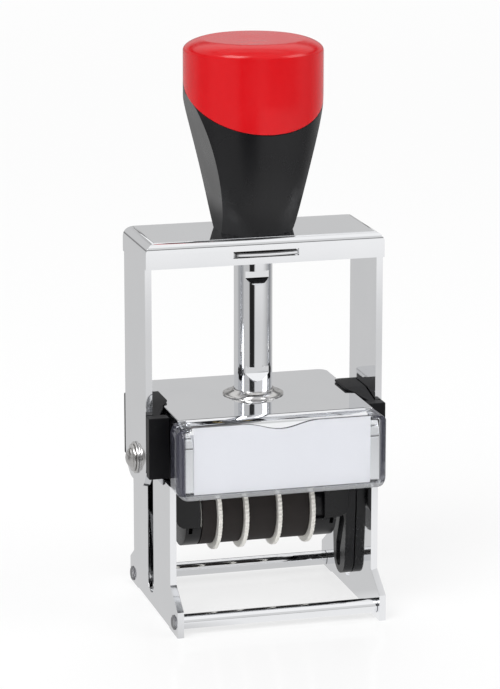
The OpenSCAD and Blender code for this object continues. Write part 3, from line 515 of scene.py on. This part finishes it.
# The lip at the foot of the front gets a painted highlight: more gloss there draws a pale line
painted_highlight_lip = 1 - graph.fade(z, *(window_low.z + height for height in LIP_END_Z))
see_through = graph.node("ShaderNodeBsdfTransparent", sockets={"Color": rgba(0.98, 0.983, 0.986)})
glossy_face = graph.principled(
    {
        "Base Color": graph.blend(painted_shade_line, rgba(0.95, 0.96, 0.98), rgba(0.12, 0.12, 0.14)),
        "Metallic": 1.0,
        "Roughness": 0.06,
    }
)
slant = graph.node("ShaderNodeFresnel", sockets={"IOR": 1.49})
# Gloss share: the real slant, plus the painted shade line at the upper edge and the painted highlight on the lip
shine = (slant + painted_shade_line * EDGE_PAINTED_SHADE + painted_highlight_lip * LIP_PAINTED_HIGHLIGHT).at_most(MOST_SHINE) * (1 - shadow_ray)
# A near-black gloss painted over each end of the front: a painted dark band that deepens the dark upright seen
# through it
painted_dark = graph.principled(
    {"Base Color": rgba(0.05, 0.05, 0.07), "Roughness": 0.2, "Specular IOR Level": 0.3}
)
band_from = window_high.x - END_BAND
at_ends = graph.fade(x.without_sign(), band_from, band_from + END_BAND_SOFT)
end_band = at_ends * graph.fade(0 - facing_y, *FACING_FRONT) * (1 - painted_highlight_lip)
graph.surface(graph.either(end_band * END_BAND_PAINTED_DARK, graph.either(shine, see_through, glossy_face), painted_dark))
print("window front:", round(window_low.y, 5), "end bands from:", round(band_from, 5))

# %% Card
FIBRE_SIZE = 0.5 * MM
FIBRE_DEPTH = 0.004 * MM
FIBRE_ROUGH = 0.1
CARD_ROUGH = 0.75
card_paper, graph = finish("card_paper")
fibres = graph.noise(FIBRE_SIZE, detail=4, stretch=(1, 1, 3))
graph.surface(
    graph.principled(
        {
            "Base Color": graph.blend(fibres, rgba(0.86, 0.86, 0.89), rgba(0.90, 0.90, 0.93)),
            "Roughness": CARD_ROUGH + fibres * FIBRE_ROUGH,
            "Normal": graph.bump(fibres, FIBRE_DEPTH),
        }
    )
)
print("paper:", card_paper.name)

# %% [markdown]
# ## Rubber, felt and small metals
#
# The date bands are a matt brown-black rubber, and the die a red-brown one. The pad is inked felt. The
# bush is brass, the spring and screws are plain drawn steel, and the pivots and the post's collar are
# turned on a lathe, which leaves them softer than the plating.

# %% Rubber and felt
band_rubber = moulded(
    "band_rubber",
    dark=(0.018, 0.015, 0.014),
    light=(0.027, 0.022, 0.021),
    rough=0.68,
    grain=0.20 * MM,
    depth=0.008 * MM,
)
die_rubber = moulded(
    "die_rubber",
    dark=(0.24, 0.075, 0.06),
    light=(0.29, 0.095, 0.075),
    rough=0.62,
    grain=0.25 * MM,
    depth=0.008 * MM,
)
ink_felt = moulded(
    "ink_felt",
    dark=(0.012, 0.013, 0.045),
    light=(0.022, 0.024, 0.07),
    rough=0.85,
    grain=0.35 * MM,
    depth=0.05 * MM,
)

# %% Drawn and turned metals
LINE_SIZE = 0.4 * MM
LINE_DARK = 0.85
LINE_ROUGH = 0.12


def turned_metal(name, colour, rough):
    made, graph = finish(name)
    lines = graph.noise(LINE_SIZE, detail=2, stretch=(1, 1, 8))
    darker = [LINE_DARK * part for part in colour]
    graph.surface(
        graph.principled(
            {
                "Base Color": graph.blend(lines, rgba(*colour), rgba(*darker)),
                "Metallic": 1.0,
                "Roughness": rough + lines * LINE_ROUGH,
            }
        )
    )
    print("drawn or turned:", name)
    return made


brass = turned_metal("bush_brass", (0.78, 0.60, 0.28), rough=0.22)
spring_steel = turned_metal("spring_steel", (0.60, 0.61, 0.63), rough=0.25)
die_metal = turned_metal("die_metal", (0.72, 0.73, 0.75), rough=0.32)
turned_steel = turned_metal("turned_steel", (0.66, 0.65, 0.64), rough=0.14)

# %% [markdown]
# ## Finish and edges for every solid
#
# A solid has knife edges, and nothing real does. Four modifiers mend that without touching the mesh:
# weld the loose triangles, dissolve flat faces to one face each, bevel what is sharp, and let large
# faces lead the shading, so a flat mirror stays flat up to its rounded edge. The bevel is small, and
# catches the thin bright line of a real edge.

# %% Eased edges
WELD_WITHIN = 0.002 * MM
FLAT_WITHIN = math.radians(0.4)
SHARP_FROM = math.radians(28)


def eased(thing, width):
    for polygon in thing.data.polygons:
        polygon.use_smooth = True
    weld = thing.modifiers.new("weld", "WELD")
    weld.merge_threshold = WELD_WITHIN
    flat = thing.modifiers.new("flat_faces", "DECIMATE")
    flat.decimate_type = "DISSOLVE"
    flat.angle_limit = FLAT_WITHIN
    bevel = thing.modifiers.new("edge", "BEVEL")
    bevel.width = width
    bevel.segments = 2
    bevel.limit_method = "ANGLE"
    bevel.angle_limit = SHARP_FROM
    bevel.harden_normals = True
    even_out = thing.modifiers.new("even_normals", "WEIGHTED_NORMAL")
    even_out.mode = "FACE_AREA"
    even_out.weight = 100


# %% Finish and edge width of each solid
# The width of the eased edge is in millimetres, and 0 leaves the edge as it is
BY_SLOT = {
    "chrome": (chrome, 0.22),
    "black_plastic": (black_plastic, 0.25),
    "red_plastic": (red_plastic, 0.2),
    "clear_plastic": (clear_plastic, 0.2),
    "card": (card_paper, 0),
    "white_plastic": (white_plastic, 0.08),
    "band_rubber": (band_rubber, 0.12),
    "die_rubber": (die_rubber, 0.15),
    "felt": (ink_felt, 0.3),
    "brass": (brass, 0.12),
    "spring_steel": (spring_steel, 0.1),
    "die_metal": (die_metal, 0.12),
}
OWN_FINISH = {
    **dict.fromkeys(("left_pivot", "right_pivot", "pivot_washers", "post_collar"), turned_steel),
    **dict.fromkeys(("left_leg_guide", "right_leg_guide", "housing_liner"), guide_plastic),
    **dict.fromkeys(("front_tie_rod", "rear_tie_rod"), rod_chrome),
    "knob_body": knob_plastic,
    "lock_slide": slide_chrome,
}
slot_of = {part["node"]: part["material_slot"] for part in frame["record"]["subparts"]}
for name, thing in nodes.items():
    material, width = BY_SLOT[slot_of[name]]
    thing.data.materials.clear()
    thing.data.materials.append(OWN_FINISH.get(name, material))
    if width:
        eased(thing, width * MM)
print("finished solids:", len(nodes), "with a finish of their own:", len(OWN_FINISH))

# %% [markdown]
# ## Pieces that follow a rule
#
# A spring is a spiral with a round wire, and the date is a row of raised digits. Geometry Nodes make
# both from a few sizes. Each tree is run once, its result is kept as a plain mesh, and the modifier that
# ran it is removed.


# %% A tree of geometry nodes
class Shaping(Graph):
    def __init__(self, name):
        super().__init__(bpy.data.node_groups.new(name, "GeometryNodeTree"))
        self.tree.interface.new_socket("Geometry", in_out="OUTPUT", socket_type="NodeSocketGeometry")
        self.inlet = self.tree.nodes.new("NodeGroupInput")
        self.sizes = {}

    def size(self, name, amount):
        socket = self.tree.interface.new_socket(name, in_out="INPUT", socket_type="NodeSocketFloat")
        self.sizes[socket.identifier] = amount
        return Value(self, self.inlet.outputs[name])

    def piece(self, name, geometry, material):
        solid = self.node("GeometryNodeRealizeInstances", sockets={0: geometry})
        dressed = self.node("GeometryNodeSetMaterial", sockets={"Geometry": solid, "Material": material})
        self.node("NodeGroupOutput", sockets={0: dressed})
        made = bpy.data.objects.new(name, bpy.data.meshes.new(name))
        scene.collection.objects.link(made)
        grown = made.modifiers.new("grown", "NODES")
        grown.node_group = self.tree
        for identifier, amount in self.sizes.items():
            grown[identifier] = amount
        view = bpy.context.evaluated_depsgraph_get()
        mesh = bpy.data.meshes.new_from_object(made.evaluated_get(view))
        made.modifiers.remove(grown)
        made.data = mesh
        print(name, "faces:", len(mesh.polygons))
        return made


# %% Return spring
COILS = 8.0
POINTS_PER_COIL = 32
WIRE_D = 1.0 * MM
WIRE_SIDES = 10
spring_low, spring_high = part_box("return_spring")
spring_tall = spring_high.z - spring_low.z
post_x, post_y = 0.0, (spring_low.y + spring_high.y) / 2
coil = Shaping("coil_spring")
coils = coil.size("Coils", COILS)
radius = coil.size("Coil radius", (spring_high.x - spring_low.x - WIRE_D) / 2)
tall = coil.size("Height", spring_tall - WIRE_D)
thick = coil.size("Wire radius", WIRE_D / 2)
spiral = coil.node(
    "GeometryNodeCurveSpiral",
    sockets={
        "Resolution": POINTS_PER_COIL,
        "Rotations": coils,
        "Start Radius": radius,
        "End Radius": radius,
        "Height": tall,
    },
)
wire = coil.node("GeometryNodeCurvePrimitiveCircle", sockets={"Resolution": WIRE_SIDES, "Radius": thick})
tube = coil.node(
    "GeometryNodeCurveToMesh", sockets={"Curve": spiral, "Profile Curve": wire, "Fill Caps": True}
)
set_up = coil.node(
    "GeometryNodeTransform",
    sockets={"Geometry": tube, "Translation": (post_x, post_y, spring_low.z + WIRE_D / 2)},
)
smooth = coil.node("GeometryNodeSetShadeSmooth", sockets={"Geometry": set_up})
spring = coil.piece("spring_wire", smooth, spring_steel)
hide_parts("return_spring")
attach(spring, "base")
press_travel = next(joint["range_m"][1] for joint in frame["joints"] if joint["name"] == "press")
(spring_tall - press_travel) / spring_tall
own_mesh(spring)

# %% [markdown]
# ## The date in raised digits
#
# Each band carries digits that stand a little proud of the die. They are mirrored, because the paper
# shows a print the other way round. A font gives the outlines, which are filled and drawn up into low
# blocks. Mirroring turns a mesh inside out, so its faces are turned back.

# %% Date type
DATE = {"day_tens_band": "2", "day_units_band": "8", "month_band": "10", "year_band": "26"}
DIGIT_TALL = 3.6 * MM
BLOCK_DEEP = 1.15 * MM
PROUD = 0.15 * MM
MERGE_WITHIN = 0.001 * MM
die_low, die_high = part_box("text_die")
type_row = Shaping("date_type")
digit_tall = type_row.size("Digit height", DIGIT_TALL)
block_deep = type_row.size("Block depth", BLOCK_DEEP)
blocks = []
for band, digits in DATE.items():
    band_low, band_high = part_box(band)
    letters = type_row.node(
        "GeometryNodeStringToCurves",
        {"align_x": "CENTER", "align_y": "MIDDLE"},
        {"String": digits, "Size": digit_tall},
    )
    outline = type_row.node("GeometryNodeRealizeInstances", sockets={0: letters})
    face = type_row.node("GeometryNodeFillCurve", {"mode": "TRIANGLES"}, {"Curve": outline})
    raised = type_row.node(
        "GeometryNodeExtrudeMesh", sockets={"Mesh": face, "Offset Scale": block_deep, "Individual": False}
    )
    under = type_row.node("GeometryNodeFlipFaces", sockets={"Mesh": face})
    block = type_row.node("GeometryNodeJoinGeometry", sockets={0: [raised, under]})
    closed = type_row.node("GeometryNodeMergeByDistance", sockets={0: block, "Distance": MERGE_WITHIN})
    middle_x = (band_low.x + band_high.x) / 2
    middle_y = (die_low.y + die_high.y) / 2
    placed = type_row.node(
        "GeometryNodeTransform",
        sockets={
            "Geometry": closed,
            "Translation": (middle_x, middle_y, die_high.z + PROUD - BLOCK_DEEP),
            "Scale": (1, -1, 1),
        },
    )
    blocks.append(type_row.node("GeometryNodeFlipFaces", sockets={"Mesh": placed}))
row = type_row.node("GeometryNodeJoinGeometry", sockets={0: blocks})
date_type = type_row.piece("date_type", row, band_rubber)
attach(date_type, "carrier")

# %% [markdown]
# ## The ink pad
#
# The pad is a slab of felt in a tray that pulls out at the back. A plain slab looks like a tile, so the
# felt is made as felt: its edges are rolled over, its printing face swells a little, and slow dips show
# where a die has pressed it. A fine grid on a cube, bent by a formula, gives all three.

# %% Felt pad
FELT_CUTS = 26
DIP_SIZE = 7 * MM
SWELL_POWER = 4


def soft_slab(name, low, high, edge_r, swell, dip):
    middle = (low + high) / 2
    half = (high - low) / 2
    slab = bmesh.new()
    bmesh.ops.create_cube(slab, size=2)
    bmesh.ops.subdivide_edges(slab, edges=slab.edges[:], cuts=FELT_CUTS, use_grid_fill=True)
    for point in slab.verts:
        # The grid is drawn closer towards the edges, where it has to bend
        share = Vector([math.sin(part * math.pi / 2) for part in point.co])
        flat = Vector([share[axis] * half[axis] for axis in range(3)])
        core = Vector(
            [max(edge_r - half[axis], min(half[axis] - edge_r, flat[axis])) for axis in range(3)]
        )
        bent = core + (flat - core).normalized() * edge_r
        # The printing face looks down. Towards its rim it is drawn up, so its middle hangs lowest
        if share.z < 0:
            rise = 1 - (1 - share.x**SWELL_POWER) * (1 - share.y**SWELL_POWER)
            pressed = 0.5 + 0.5 * noise.noise(bent / DIP_SIZE)
            bent.z -= share.z * (swell * rise + dip * pressed)
        point.co = middle + bent
    mesh = bpy.data.meshes.new(name)
    slab.to_mesh(mesh)
    slab.free()
    for polygon in mesh.polygons:
        polygon.use_smooth = True
    thing = bpy.data.objects.new(name, mesh)
    scene.collection.objects.link(thing)
    return thing


felt_low, felt_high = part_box("ink_pad")
felt = soft_slab("felt_pad", felt_low, felt_high, edge_r=0.5 * MM, swell=0.3 * MM, dip=0.12 * MM)
felt.data.materials.append(ink_felt)
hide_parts("ink_pad")
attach(felt, "pad")
print("felt points:", len(felt.data.vertices))
